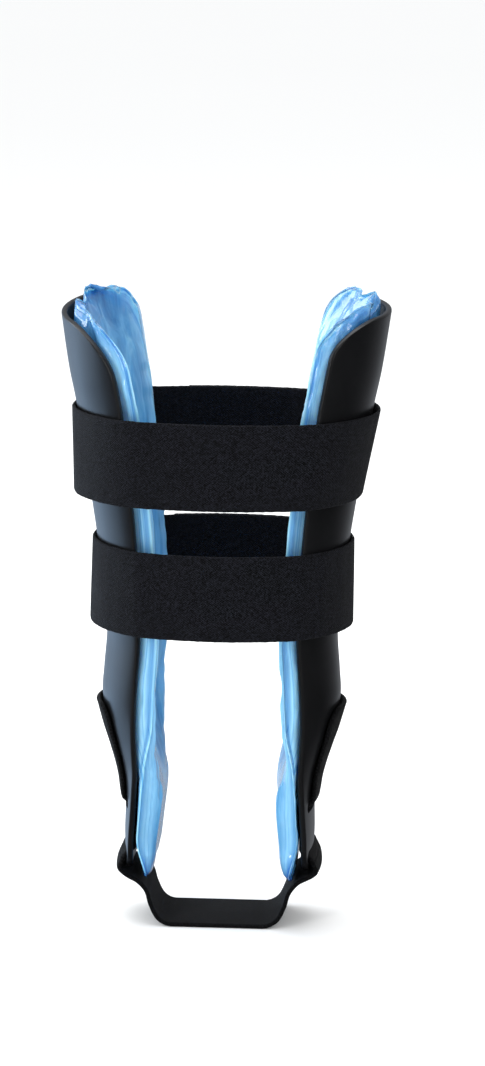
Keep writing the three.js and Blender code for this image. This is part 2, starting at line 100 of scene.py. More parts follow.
# height, reach, depth, bow: shares of the shell's height and of the rim's sizes
SHELL_SECTIONS = [
    (0.0, 0.573, 0.59, 0.1),
    (0.06, 0.588, 0.606, 0.135),
    (0.12, 0.586, 0.63, 0.172),
    (0.16, 0.597, 0.66, 0.237),
    (0.19, 0.62, 0.683, 0.335),
    (0.226, 0.658, 0.708, 0.447),
    (0.267, 0.703, 0.73, 0.59),
    (0.315, 0.735, 0.749, 0.716),
    (0.36, 0.727, 0.768, 0.716),
    (0.433, 0.71, 0.79, 0.712),
    (0.505, 0.732, 0.816, 0.772),
    (0.6, 0.775, 0.857, 0.856),
    (0.663, 0.808, 0.885, 0.907),
    (0.832, 0.903, 0.966, 1.01),
    (0.9, 0.95, 0.99, 1.04),
    (1.0, 1.0, 1.0, 1.0),
]

# height, distance from the shell, how far the edges are laid against it, thickness:
# shares of the pad's height, of PAD_THICK, of that distance and of PAD_THICK
PAD_SECTIONS = [
    (0.0, 0.44, 0.0, 0.0),
    (0.012, 0.38, 0.15, 0.32),
    (0.035, 0.33, 0.5, 0.56),
    (0.075, 0.3, 0.95, 0.74),
    (0.12, 0.28, 1.0, 0.84),
    (0.165, 0.25, 1.0, 0.94),
    (0.215, 0.06, 0.85, 1.03),
    (0.28, 0.0, 0.1, 1.08),
    (0.37, 0.0, 0.0, 1.04),
    (0.5, 0.0, 0.0, 0.92),
    (0.65, 0.0, 0.0, 0.92),
    (0.82, 0.0, 0.0, 0.9),
    (0.9, 0.03, 0.0, 0.8),
    (0.945, 0.1, 0.0, 0.62),
    (0.98, 0.27, 0.0, 0.34),
    (1.0, 0.45, 0.0, 0.0),
]

# across, lateral up, medial up: the heel strap's route, as shares of the way to the
# lower slot
HEEL_ROUTE = [
    (0.126, 0.019, 0.025),
    (0.272, 0.087, 0.09),
    (0.432, 0.271, 0.274),
    (0.55, 0.462, 0.468),
    (0.745, 0.588, 0.612),
    (0.93, 0.65, 0.676),
    (1.055, 0.706, 0.72),
    (1.14, 0.77, 0.78),
    (1.085, 0.87, 0.875),
]

# ruffles: place, width, up, out. dents: height, place, height of dent, width, depth
LATERAL = {
    "side": -1,
    "lift": -1.2,
    "rise": 1.4,
    "corner": 1.2,
    "ruffles": [
        (-0.6, 0.2, -0.15, 0.6),
        (-0.28, 0.2, 0.45, -0.8),
        (0.02, 0.17, -0.5, 0.9),
        (0.42, 0.26, 0.75, -0.7),
        (0.78, 0.2, -0.3, 0.6),
    ],
    "dents": [
        (0.86, -0.8, 0.035, 0.24, 1.0),
        (0.78, -0.85, 0.03, 0.2, 0.7),
        (0.9, -0.2, 0.035, 0.35, 0.8),
        (0.3, 0.0, 0.09, 0.45, 1.0),
    ],
}
MEDIAL = {
    "side": 1,
    "lift": 1.2,
    "rise": 0.6,
    "corner": 0.8,
    "ruffles": [
        (-0.55, 0.2, 0.25, -0.7),
        (-0.24, 0.17, -0.5, 0.9),
        (0.12, 0.24, 0.75, -0.8),
        (0.5, 0.18, -0.35, 0.8),
        (0.78, 0.18, 0.2, -0.5),
    ],
    "dents": [
        (0.84, -0.78, 0.035, 0.24, 1.0),
        (0.88, 0.2, 0.035, 0.35, 0.8),
        (0.3, 0.0, 0.1, 0.5, 1.0),
        (0.2, -0.6, 0.06, 0.4, 1.0),
    ],
}

# How the straps stand off the shells at their top and lower edges, in strap widths
UPPER_SLACK = {"lateral": (0.0, -0.02), "medial": (0.035, -0.155)}
LOWER_SLACK = {"lateral": (0.0, 0.024), "medial": (0.0, 0.004)}

# The solids' own place: the heel strap lies midway between the shells
heel_low, heel_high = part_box("heel_strap")
SHIFT = Vector(((heel_low[0] + heel_high[0]) / 2, (heel_low[1] + heel_high[1]) / 2, 0.0))


def clamp(v, low, high):
    return min(high, max(low, v))


def mix(a, b, t):
    return a + (b - a) * t


def smooth(a, b, v):
    t = clamp((v - a) / (b - a), 0.0, 1.0)
    return t * t * (3 - 2 * t)


def bump_at(v, at, wide):
    return math.exp(-(((v - at) / wide) ** 2))


def look_up(table, column, height):
    """A column of a table at a height, on one smooth curve through its rows."""
    last = len(table) - 1
    i = 0
    while i < last - 1 and height > table[i + 1][0]:
        i += 1

    def slope(k):
        a, b = table[max(0, k - 1)], table[min(last, k + 1)]
        return (b[column] - a[column]) / (b[0] - a[0])

    a, b = table[i], table[i + 1]
    span = b[0] - a[0]
    t = clamp((height - a[0]) / span, 0.0, 1.0)
    t2, t3 = t * t, t * t * t
    return (
        (2 * t3 - 3 * t2 + 1) * a[column]
        + (t3 - 2 * t2 + t) * span * slope(i)
        + (3 * t2 - 2 * t3) * b[column]
        + (t3 - t2) * span * slope(i + 1)
    )


def shell_arc(z):
    """A shell's section at z: reach, half depth, radius and the arc's centre in X."""
    height = clamp((z - SHELL_FOOT) / SHELL_HEIGHT, 0.0, 1.0)
    reach = RIM_REACH * look_up(SHELL_SECTIONS, 1, height)
    depth = RIM_HALF_DEPTH * look_up(SHELL_SECTIONS, 2, height)
    bow = RIM_BOW * look_up(SHELL_SECTIONS, 3, height)
    radius = (depth * depth + bow * bow) / (2 * bow)
    return reach, depth, radius, reach - radius


HEEL_HALF = shell_arc(LOWER_SLOT)[1] - HEEL_INSET


def rounded(d, tall, deep, depth):
    t = clamp(1 - d / tall, 0.0, 1.0)
    return depth - deep * (1 - (1 - t**CORNER_POWER) ** (1 / CORNER_POWER))


def outline(z, foot, top, corner):
    depth = shell_arc(z)[1]
    at_foot = rounded(z - foot, FOOT_ROUND, depth, depth)
    front = rounded(top - z, FRONT_CORNER_TALL * corner, FRONT_CORNER_DEEP, depth)
    rear = rounded(top - z, REAR_CORNER_TALL, REAR_CORNER_DEEP, depth)
    return -min(at_foot, front), min(at_foot, rear)


def rim_of(form):
    return SHELL_FOOT + SHELL_HEIGHT + form["lift"]


def heights(foot, top, rows, ease):
    out = []
    for i in range(rows + 1):
        t = i / rows
        out.append(mix(foot, top, mix(t, (1 - math.cos(math.pi * t)) / 2, ease)))
    return out


def on_shell(form, z, angle, inset):
    """A point on a shell's section, pushed in from the outer face by inset."""
    _, _, radius, centre = shell_arc(z)
    y = (radius - inset) * math.sin(angle)
    x = centre + (radius - inset) * math.cos(angle)
    near = smooth(rim_of(form) - RIM_HALF_DEPTH, rim_of(form), z)
    rise = RIM_RISE * form["rise"] * (y / RIM_HALF_DEPTH) * near
    return Vector((form["side"] * x, y, z + rise))


def closed_mesh(name, rings, looped=False, capped=True):
    """A closed mesh through rings of points in millimetres, moved to the solids' place."""
    n = len(rings[0])
    verts = [p * MM + SHIFT for ring in rings for p in ring]
    faces = []
    spans = len(rings) if looped else len(rings) - 1
    for i in range(spans):
        j = (i + 1) % len(rings)
        for k in range(n):
            m = (k + 1) % n
            faces.append((i * n + k, i * n + m, j * n + m, j * n + k))
    if capped and not looped:
        for start, turned in ((0, True), ((len(rings) - 1) * n, False)):
            for k in range(n // 2):
                corners = [k, k + 1, n - k - 1, (n - k) % n]
                quad = [start + c for c in dict.fromkeys(corners)]
                if len(quad) > 2:
                    faces.append(tuple(reversed(quad)) if turned else tuple(quad))
    mesh = bpy.data.meshes.new(name)
    mesh.from_pydata(verts, [], faces)
    mesh.update()
    work = bmesh.new()
    work.from_mesh(mesh)
    bmesh.ops.recalc_face_normals(work, faces=work.faces)
    if work.calc_volume(signed=True) < 0:
        bmesh.ops.reverse_faces(work, faces=work.faces)
    work.to_mesh(mesh)
    work.free()
    mesh.shade_smooth()
    return mesh


def piece(name, mesh, node, material):
    obj = bpy.data.objects.new(name, mesh)
    bpy.context.scene.collection.objects.link(obj)
    obj.data.materials.clear()
    obj.data.materials.append(material)
    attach(obj, "root")
    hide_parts(node)
    return obj


def applied(obj):
    """Put what the object's modifiers make into its mesh."""
    graph = bpy.context.evaluated_depsgraph_get()
    made = bpy.data.meshes.new_from_object(obj.evaluated_get(graph))
    obj.modifiers.clear()
    obj.data = made


# Materials


class Nodes:
    """A material's node tree, with short calls for the nodes used here."""

    def __init__(self, name):
        self.material = bpy.data.materials.new(name)
        self.material.use_nodes = True
        self.tree = self.material.node_tree
        self.shader = self.tree.nodes["Principled BSDF"]
        self.coords = self.tree.nodes.new("ShaderNodeTexCoord")

    def set(self, **values):
        for key, value in values.items():
            self.shader.inputs[key.replace("_", " ")].default_value = value

    def link(self, a, b):
        self.tree.links.new(a, b)

    def stretched(self, x, y, z):
        node = self.tree.nodes.new("ShaderNodeMapping")
        node.inputs["Scale"].default_value = (x, y, z)
        self.link(self.coords.outputs["Object"], node.inputs["Vector"])
        return node.outputs["Vector"]

    def added(self, vector, distance):
        node = self.tree.nodes.new("ShaderNodeVectorMath")
        node.operation = "ADD"
        self.link(vector, node.inputs[0])
        self.link(distance, node.inputs[1])
        return node.outputs["Vector"]

    def noise(self, scale, detail=4.0, rough=0.55, vector=None, distortion=0.0):
        node = self.tree.nodes.new("ShaderNodeTexNoise")
        node.inputs["Scale"].default_value = scale
        node.inputs["Detail"].default_value = detail
        node.inputs["Roughness"].default_value = rough
        node.inputs["Distortion"].default_value = distortion
        self.link(vector or self.coords.outputs["Object"], node.inputs["Vector"])
        return node.outputs["Fac"]

    def attribute(self, name):
        node = self.tree.nodes.new("ShaderNodeAttribute")
        node.attribute_name = name
        return node.outputs["Fac"]

    def math(self, operation, a, b=None, c=None):
        node = self.tree.nodes.new("ShaderNodeMath")
        node.operation = operation
        for socket, value in zip(node.inputs, (a, b, c)):
            if value is None:
                continue
            if isinstance(value, (int, float)):
                socket.default_value = value
            else:
                self.link(value, socket)
        return node.outputs["Value"]

    def ramp(self, factor, *stops):
        node = self.tree.nodes.new("ShaderNodeValToRGB")
        elements = node.color_ramp.elements
        while len(elements) < len(stops):
            elements.new(0.5)
        for element, (place, colour) in zip(elements, stops):
            element.position = place
            element.color = (*colour, 1.0)
        self.link(factor, node.inputs["Fac"])
        return node.outputs["Color"]

    def mixed(self, blend, a, b, factor):
        node = self.tree.nodes.new("ShaderNodeMix")
        node.data_type = "RGBA"
        node.blend_type = blend
        for name, value in (("A", a), ("B", b)):
            if isinstance(value, tuple):
                node.inputs[name].default_value = (*value, 1.0)
            else:
                self.link(value, node.inputs[name])
        if isinstance(factor, float):
            node.inputs["Factor"].default_value = factor
        else:
            self.link(factor, node.inputs["Factor"])
        return node.outputs["Result"]

    def range(self, factor, low, high):
        node = self.tree.nodes.new("ShaderNodeMapRange")
        node.inputs["To Min"].default_value = low
        node.inputs["To Max"].default_value = high
        self.link(factor, node.inputs["Value"])
        return node.outputs["Result"]

    def bump(self, height, distance, strength=1.0, after=None):
        node = self.tree.nodes.new("ShaderNodeBump")
        node.inputs["Strength"].default_value = strength
        node.inputs["Distance"].default_value = distance
        self.link(height, node.inputs["Height"])
        if after is not None:
            self.link(after, node.inputs["Normal"])
        return node.outputs["Normal"]


def moulded_plastic():
    """Black satin plastic with a fine moulded grain and faint handling marks."""
    m = Nodes("moulded_plastic")
    m.set(Specular_IOR_Level=0.3, Coat_Weight=0.12, Coat_Roughness=0.15)
    cloudy = m.noise(38.0, 3.0)
    base = m.ramp(cloudy, (0.3, (0.0035, 0.0036, 0.0042)), (0.75, (0.006, 0.0062, 0.0072)))
    m.link(base, m.shader.inputs["Base Color"])
    wiped = m.range(m.noise(26.0, 5.0, 0.6, m.stretched(1.0, 1.0, 0.25)), 0.26, 0.44)
    trimmed = m.math("MULTIPLY", m.attribute("edge"), 0.08)
    m.link(m.math("ADD", wiped, trimmed), m.shader.inputs["Roughness"])
    grain = m.bump(m.noise(2600.0, 2.0), 0.00003, 0.35)
    ripple = m.bump(m.noise(22.0, 1.0, 0.4, m.stretched(1.0, 1.0, 0.35)), 0.0006, 0.3, grain)
    m.link(ripple, m.shader.inputs["Normal"])
    return m.material


def gel_film():
    """Blue glossy vinyl over gel, with painted light in its colour: painted shade in the crease beside
    the weld, at the lower end and in the slack film, painted shade and highlight along its folds, and
    edges that are paler from thinner gel and from a painted reflection.
    """
    m = Nodes("gel_film")
    m.set(Coat_Weight=0.8, Coat_Roughness=0.09, IOR=1.5)
    m.set(Subsurface_Weight=0.3, Subsurface_Scale=0.006)
    m.shader.inputs["Subsurface Radius"].default_value = (0.35, 0.7, 1.0)
    streaks = m.noise(1.0, 4.0, 0.6, m.stretched(150.0, 150.0, 16.0), 0.6)
    full = m.ramp(
        streaks,
        (0.3, (0.05, 0.22, 0.46)),
        (0.5, (0.105, 0.34, 0.61)),
        (0.72, (0.22, 0.52, 0.77)),
    )
    # paler along the folded edges near the weld: partly the thinner gel there and partly a painted
    # reflection of the pale floor
    edge = m.ramp(m.math("ABSOLUTE", m.attribute("share")), (0.74, (0, 0, 0)), (0.9, (1, 1, 1)))
    pale_edge_and_reflection = m.mixed("MIX", full, (0.34, 0.66, 0.9), m.math("MULTIPLY", edge, 0.75))
    # painted shade: where the full layer is low, in the crease beside the weld and at the lower end,
    # this deep blue darkens the film
    crease = m.ramp(
        m.attribute("full"),
        (0.0, (0.01, 0.16, 0.55)),
        (0.15, (0.44, 0.59, 0.76)),
        (0.6, (1.0, 1.0, 1.0)),
    )
    shaded = m.mixed("MULTIPLY", pale_edge_and_reflection, crease, 1.0)
    # painted shade: the slack, crinkled film at the top is darkened
    slack = m.mixed("MULTIPLY", shaded, (0.5, 0.64, 0.8), m.attribute("slack"))
    # painted shade and painted highlight: darker and brighter lines along the folds beside the weld
    lane = m.math("MULTIPLY", m.attribute("lane"), 1.9)
    lanes = m.noise(1.0, 2.0, 0.6, m.added(m.stretched(0.0, 0.0, 9.0), lane))
    fold_shade_and_highlight = m.ramp(
        lanes,
        (0.36, (0.42, 0.64, 0.82)),
        (0.46, (0.9, 0.95, 0.98)),
        (0.6, (1.1, 1.07, 1.03)),
    )
    with_fold_light = m.mixed("MULTIPLY", slack, fold_shade_and_highlight, edge)
    m.link(with_fold_light, m.shader.inputs["Base Color"])
    m.link(m.range(m.noise(60.0, 3.0), 0.12, 0.24), m.shader.inputs["Roughness"])
    creased = m.bump(m.noise(1.0, 2.0, 0.45, m.stretched(200.0, 200.0, 34.0), 1.0), 0.0007, 0.6)
    m.link(creased, m.shader.inputs["Normal"])
    return m.material


def ribbed_elastic(name, rib, dark, light):
    """Black hook-and-loop elastic: fine ribs across its length and loose pile."""
    m = Nodes(name)
    m.set(Specular_IOR_Level=0.1, Sheen_Weight=0.028, Sheen_Roughness=0.4)
    along = m.attribute("along")
    across = m.attribute("across")
    wobble = m.math("MULTIPLY", m.noise(420.0, 2.0), rib * 1.2)
    phase = m.math("ADD", along, wobble)
    ribs = m.math("SINE", m.math("MULTIPLY", phase, 2 * math.pi / rib))
    picks = m.math("SINE", m.math("MULTIPLY", m.math("ADD", across, wobble), 2 * math.pi / (rib * 0.8)))
    weave = m.math("MULTIPLY", ribs, picks)
    pile = m.noise(1500.0, 3.0, 0.7)
    height = m.math("ADD", m.math("MULTIPLY", weave, 0.6), m.math("MULTIPLY", pile, 1.2))
    m.link(m.bump(height, 0.00025, 0.8), m.shader.inputs["Normal"])
    grain = m.math("MULTIPLY", m.noise(1100.0, 3.0, 0.75), 0.9)
    fleck = m.math("ADD", grain, m.math("MULTIPLY", weave, 0.13))
    m.link(m.ramp(fleck, (0.36, dark), (0.62, light)), m.shader.inputs["Base Color"])
    m.link(m.range(m.noise(50.0, 3.0), 0.7, 0.92), m.shader.inputs["Roughness"])
    return m.material


def pale_floor():
    m = Nodes("pale_floor")
    m.set(Specular_IOR_Level=0.0)
    paper = m.ramp(m.noise(0.4, 2.0), (0.0, (0.9, 0.905, 0.905)), (1.0, (0.92, 0.925, 0.925)))
    m.link(paper, m.shader.inputs["Base Color"])
    m.link(m.range(m.noise(3.0, 2.0), 0.85, 0.95), m.shader.inputs["Roughness"])
    return m.material


plastic = moulded_plastic()
gel = gel_film()
elastic = ribbed_elastic("ribbed_elastic", 0.0012, (0.001, 0.0011, 0.0015), (0.0115, 0.0125, 0.018))
hook_webbing = ribbed_elastic("hook_webbing", 0.0015, (0.0012, 0.0012, 0.0015), (0.006, 0.006, 0.007))


# Side shells

SHELL_ROWS = 190
SHELL_COLUMNS = 56
EDGE_STEPS = 8
EDGE_SQUARE = 0.55  # below 1, a round edge becomes a squarer one
THIN_TIP = 0.97  # share of the wall that the first and the last ring leave out
TIP_STEPS = 6
SLOT_STEPS = 24
CUTTER_INSIDE = 12.0  # how far the slots' cutter reaches in from the outer face
CUTTER_OUTSIDE = 6.0  # and out from it


def squared(v):
    """A sine or cosine, bent so that a round edge becomes a squarer one."""
    return math.copysign(abs(v) ** EDGE_SQUARE, v)


def shell_ring(form, z, outer, inner):
    """One ring of a shell whose wall lies between two insets, with rounded ends."""
    front_y, rear_y = outline(z, SHELL_FOOT, rim_of(form), form["corner"])
    _, _, radius, _ = shell_arc(z)
    half = (inner - outer) / 2
    middle = (inner + outer) / 2
    back = half / radius
    front = math.asin(min(front_y, -2 * half) / radius) + back
    rear = math.asin(max(rear_y, 2 * half) / radius) - back
    ring = []
    for j in range(SHELL_COLUMNS + 1):
        ring.append(on_shell(form, z, mix(front, rear, j / SHELL_COLUMNS), outer))
    for k in range(1, EDGE_STEPS):
        turn = math.pi * (k / EDGE_STEPS) - math.pi / 2
        out, down = squared(math.cos(turn)), squared(math.sin(turn))
        ring.append(on_shell(form, z, rear + back * out, middle + half * down))
    for j in range(SHELL_COLUMNS, -1, -1):
        ring.append(on_shell(form, z, mix(front, rear, j / SHELL_COLUMNS), inner))
    for k in range(1, EDGE_STEPS):
        turn = math.pi / 2 - math.pi * (k / EDGE_STEPS)
        out, down = squared(math.cos(turn)), squared(math.sin(turn))
        ring.append(on_shell(form, z, front - back * out, middle + half * down))
    return ring


def shell_mesh(name, form):
    """A shell with rounded edges. Its layer "edge" is 1 on them and 0 on the faces."""
    half = SHELL_WALL / 2
    foot, top = SHELL_FOOT, rim_of(form)
    rings = []
    for k in range(TIP_STEPS):
        turn = math.pi / 2 * (k / TIP_STEPS)
        thin = half * (1 - squared(math.sin(turn))) * THIN_TIP
        z = foot + half * (1 - squared(math.cos(turn)))
        rings.append(shell_ring(form, z, thin, SHELL_WALL - thin))
    for z in heights(foot + half, top - half, SHELL_ROWS, 0.9):
        rings.append(shell_ring(form, z, 0.0, SHELL_WALL))
    for k in range(1, TIP_STEPS + 1):
        turn = math.pi / 2 * (k / TIP_STEPS)
        thin = half * (1 - squared(math.cos(turn))) * THIN_TIP
        z = top - half + half * squared(math.sin(turn))
        rings.append(shell_ring(form, z, thin, SHELL_WALL - thin))
    n = len(rings[0])
    cut = n - (EDGE_STEPS - 1) // 2
    rings = [ring[cut:] + ring[:cut] for ring in rings]
    mesh = closed_mesh(name, rings)
    wall = SHELL_COLUMNS + 1
    ring_edge = [0.0] * wall + [1.0] * (EDGE_STEPS - 1) + [0.0] * wall + [1.0] * (EDGE_STEPS - 1)
    ring_edge = ring_edge[cut:] + ring_edge[:cut]
    end_rows = (*range(TIP_STEPS), *range(len(rings) - TIP_STEPS, len(rings)))
    edge = [1.0 if i in end_rows else e for i in range(len(rings)) for e in ring_edge]
    mesh.attributes.new("edge", "FLOAT", "POINT").data.foreach_set("value", edge)
    return mesh


def slot_cutter(form, z):
    """A round-ended bar across the wall."""
    radius = SLOT_TALL / 2
    half = HEEL_HALF + SLOT_SIDE
    reach = shell_arc(z)[0]
    rings = []
    for x in (reach - CUTTER_INSIDE, reach + CUTTER_OUTSIDE):
        ring = []
        for end, start in ((half, -math.pi / 2), (-half, math.pi / 2)):
            for k in range(SLOT_STEPS + 1):
                turn = start + math.pi * k / SLOT_STEPS
                y = end + radius * math.cos(turn)
                ring.append(Vector((form["side"] * x, y, z + radius * math.sin(turn))))
        rings.append(ring)
    obj = bpy.data.objects.new("slot_cutter", closed_mesh("slot_cutter", rings))
    bpy.context.scene.collection.objects.link(obj)
    return obj


def make_shell(name, form):
    shell = piece(name, shell_mesh(name, form), name.replace("_moulding", "_shell"), plastic)
    cutters = [slot_cutter(form, z) for z in (LOWER_SLOT, UPPER_SLOT)]
    for cutter in cutters:
        cut = shell.modifiers.new("slot", "BOOLEAN")
        cut.operation = "DIFFERENCE"
        cut.solver = "EXACT"
        cut.object = cutter
    applied(shell)
    for cutter in cutters:
        bpy.data.objects.remove(cutter, do_unlink=True)
    shell.data.set_sharp_from_angle(angle=math.radians(40))
    shell.data.materials.clear()
    shell.data.materials.append(plastic)
    return shell


# Gel pads

PAD_ROWS = 150
PAD_COLUMNS = 40
PRESSURE = 3.0  # what fills the pads, in the cloth simulation
SIM_FRAMES = 18
MOST_SWELL = 1.4  # how far the film may move
SEAT_SWELL = 0.15  # how far toward the shell, or off it for the film that lies there
FOOT_SWELL = 0.25  # share of MOST_SWELL at the lower end, and all of it from FOOT_HIGH up
FOOT_HIGH = 70.0
TIP_SHADE_HIGH = 22.0  # height above the lower end below which painted shade darkens the film
WELD_CREASE_SHADE = 0.85  # how much painted shade darkens the colour in the crease beside the weld
SLACK_DEEP = 1.2  # how far the slack film wanders in and out


def pad_rings(form, seed):
    """Rings of a pad, and for each point: is it welded, the way out to the shell, is
    it on the film at the shell, and the layers for its look: its share of the way
    across, how much painted shade darkens it beside the weld and at the lower end,
    how slack it is (for the painted shade of the slack film), and its distance from the shell."""
    top = rim_of(form) + PAD_ABOVE_RIM
    tall = top - PAD_FOOT
    seat = SHELL_WALL + PAD_SEAT
    rings, welded, outward, at_shell = [], [], [], []
    layers = {"share": [], "full": [], "slack": [], "lane": []}
    for row, z in enumerate(heights(PAD_FOOT, top, PAD_ROWS, 0.6)):
        height = (z - PAD_FOOT) / tall
        _, _, radius, _ = shell_arc(z)
        front_y, rear_y = outline(z, PAD_FOOT, top, form["corner"])

        def edge(y):
            return math.asin(y / radius) + math.copysign(PAD_PROUD, y) / radius

        a0 = edge(min(front_y, -WELD_WIDE))
        a1 = edge(max(rear_y, WELD_WIDE))
        off = PAD_THICK * look_up(PAD_SECTIONS, 1, height)
        hug = look_up(PAD_SECTIONS, 2, height)
        thick = max(WELD_THICK, PAD_THICK * look_up(PAD_SECTIONS, 3, height))
        slack = smooth(top - RUFFLE_HIGH, top, z)
        border = min(0.4, WELD_WIDE / ((a1 - a0) * radius))

        def puff(share):
            """Half of the pad's thickness there."""
            s = min(1.0, abs(share) / (1 - 2 * border))
            return max(WELD_THICK / 2, (thick / 2) * math.sqrt(1 - s**PAD_FULLNESS))

        def place(share, face):
            angle = mix(a0, a1, (share + 1) / 2)
            stand = off * (1 - hug * smooth(PAD_HUG_FROM, 1.0, abs(share)))
            half = puff(share)
            lane = stand + mix(thick / 2, half, hug) - half * face
            inward = lane
            lift = 0.0
            for at, wide, up, out in form["ruffles"]:
                inward += out * RUFFLE_DEEP * slack * bump_at(share, at, wide)
                lift += up * PAD_ABOVE_RIM * slack * bump_at(share, at, wide)
            if face < 0:
                for level, at, high, wide, deep in form["dents"]:
                    dent = bump_at(height, level, high) * bump_at(share, at, wide)
                    inward -= deep * DENT_DEEP * dent
            crinkle = noise.noise(Vector((share * 4.5, z / 15.0, seed)))
            crinkle += 0.4 * noise.noise(Vector((share * 9.0, z / 9.0, seed + 7.0)))
            inward += crinkle * SLACK_DEEP * slack
            p = on_shell(form, z, angle, seat)
            turned = angle * PAD_TURN
            p.x -= form["side"] * inward * math.cos(turned)
            p.y -= inward * math.sin(turned)
            p.z += lift
            return p, Vector((form["side"] * math.cos(turned), math.sin(turned), 0.0)), lane

        full_part = 1 - 2 * border
        across = [-math.cos(math.pi * j / PAD_COLUMNS) * full_part for j in range(PAD_COLUMNS + 1)]
        shares = [(-1.0, 0)]
        shares += [(s, 1) for s in across]
        shares += [(1.0, 0)]
        shares += [(s, -1) for s in reversed(across)]
        ring = []
        for share, face in shares:
            point, way, lane = place(share, face)
            ring.append(point)
            outward.append(way)
            at_shell.append(face > 0)
            pinned = abs(share) > 1 - 2.2 * border or row < 3 or row > PAD_ROWS - 3
            welded.append(pinned)
            layers["share"].append(share)
            # painted shade: the full layer darkens the colour in the crease beside the weld and towards
            # the lower end
            crease = 1 - WELD_CREASE_SHADE * bump_at(abs(share), 1 - 2 * border, 0.035)
            layers["full"].append(crease * smooth(0.0, TIP_SHADE_HIGH, z - PAD_FOOT))
            layers["slack"].append(slack)
            layers["lane"].append(lane)
        rings.append(ring)
    return rings, welded, outward, at_shell, layers


def swollen(obj, welded, outward, at_shell):
    """Fill the film with pressure. It is held at its weld and keeps to the shell."""
    group = obj.vertex_groups.new(name="weld")
    group.add([i for i, w in enumerate(welded) if w], 1.0, "REPLACE")
    cloth = obj.modifiers.new("cloth", "CLOTH")
    film = cloth.settings
    film.vertex_group_mass = "weld"
    film.quality = 6
    film.mass = 0.25
    film.tension_stiffness = 25
    film.compression_stiffness = 25
    film.shear_stiffness = 12
    film.bending_stiffness = 0.35
    film.use_pressure = True
    film.uniform_pressure_force = PRESSURE
    film.shrink_min = -0.016
    film.effector_weights.gravity = 0
    cloth.collision_settings.use_collision = False
    scene = bpy.context.scene
    scene.frame_start = 1
    scene.frame_end = SIM_FRAMES
    cloth.point_cache.frame_start = 1
    cloth.point_cache.frame_end = SIM_FRAMES
    for f in range(1, SIM_FRAMES + 1):
        scene.frame_set(f)
    graph = bpy.context.evaluated_depsgraph_get()
    moved = [v.co.copy() for v in obj.evaluated_get(graph).data.vertices]
    obj.modifiers.clear()
    scene.frame_set(1)
    low = PAD_FOOT * MM
    for v, to, way, seated in zip(obj.data.vertices, moved, outward, at_shell):
        step = to - v.co
        out = step.dot(way)
        kept = clamp(out, (-SEAT_SWELL if seated else -MOST_SWELL) * MM, SEAT_SWELL * MM)
        step += way * (kept - out)
        most = MOST_SWELL * MM * mix(FOOT_SWELL, 1.0, smooth(low, low + FOOT_HIGH * MM, v.co.z))
        if step.length > most:
            step *= most / step.length
        v.co += step
    obj.vertex_groups.clear()
    obj.data.update()


FOLD_DEEP = 0.8  # long folds beside the weld
PUCKER_DEEP = 0.5  # short folds across it
CRINKLE_DEEP = 0.75  # sharp creases in the slack film
WRINKLE_DEEP = 0.3  # smaller ones between them
SOFT_DEEP = 0.5  # slow unevenness all over
FOLDS_FROM = 0.35  # share of the puckers that is left far below the rim
NEAR_SHELL = 0.1  # how far the film on the shell's side may move toward it


def ridge(v):
    """Noise with sharp creases: 1 in a crease and 0 or less between them."""
    return 1 - 3.2 * abs(noise.noise(v))


def creased(pad, form, seed):
    """Move the film in and out along its normals: long folds beside the weld, short
    puckers across it, and crinkles where the slack film gathers at the top."""
    mesh = pad.data
    share = [0.0] * len(mesh.vertices)
    mesh.attributes["share"].data.foreach_get("value", share)
    top = (rim_of(form) + PAD_ABOVE_RIM) * MM
    moves = []
    for v, s, n in zip(mesh.vertices, share, mesh.vertex_normals):
        p = (v.co - SHIFT) / MM
        edge = smooth(0.5, 0.92, abs(s))
        weld = smooth(0.72, 0.9, abs(s)) * (1 - smooth(0.93, 1.0, abs(s)))
        slack = smooth(top - RUFFLE_HIGH * MM, top, v.co.z)
        loose = mix(FOLDS_FROM, 1.0, smooth(top - 3 * RUFFLE_HIGH * MM, top, v.co.z))
        folds = noise.noise(Vector((s * 13.0, p.z / 60.0, seed))) * edge
        puckers = noise.noise(Vector((s * 6.0, p.z / 6.5, seed + 9))) * weld * loose
        puckers += 0.9 * noise.noise(Vector((s * 4.0 + p.z / 30.0, p.z / 13.0, seed + 2))) * edge * loose
        crinkles = ridge(Vector((p.x / 13.0, p.y / 13.0, p.z / 22.0 + seed))) * slack
        wrinkles = ridge(Vector((p.x / 5.0 + seed, p.y / 5.0, p.z / 8.0))) * slack
        soft = noise.noise(Vector((p.x / 20.0, p.y / 20.0, p.z / 30.0 + seed)))
        move = FOLD_DEEP * folds + PUCKER_DEEP * puckers + SOFT_DEEP * soft
        move -= CRINKLE_DEEP * max(0.0, crinkles) + WRINKLE_DEEP * max(0.0, wrinkles)
        if n.vector.x * form["side"] > 0.2:
            move = min(move, NEAR_SHELL)
        moves.append(n.vector * (move * MM))
    for v, move in zip(mesh.vertices, moves):
        v.co += move
    mesh.update()


def make_pad(name, form, seed):
    rings, welded, outward, at_shell, layers = pad_rings(form, seed)
    pad = piece(name, closed_mesh(name, rings), name.replace("_bladder", "_gel_pad"), gel)
    for layer, values in layers.items():
        pad.data.attributes.new(layer, "FLOAT", "POINT").data.foreach_set("value", values)
    swollen(pad, welded, outward, at_shell)
    fine = pad.modifiers.new("fine", "SUBSURF")
    fine.levels = 1
    fine.render_levels = 1
    applied(pad)
    creased(pad, form, seed)
    pad.data.shade_smooth()
    return pad


# Straps round both shells

STRAP_STEPS = 420
STRAP_ROWS = 14
SELVEDGE_STEPS = 4
STRAP_END_STEPS = 90
STRAP_WAVE = 0.22  # how far a strap's faces wave
SELVEDGE_WAVE = 0.16  # how far its edges wave
SEAM_AT = 0.2  # share of the way round where the mesh closes, at the rear


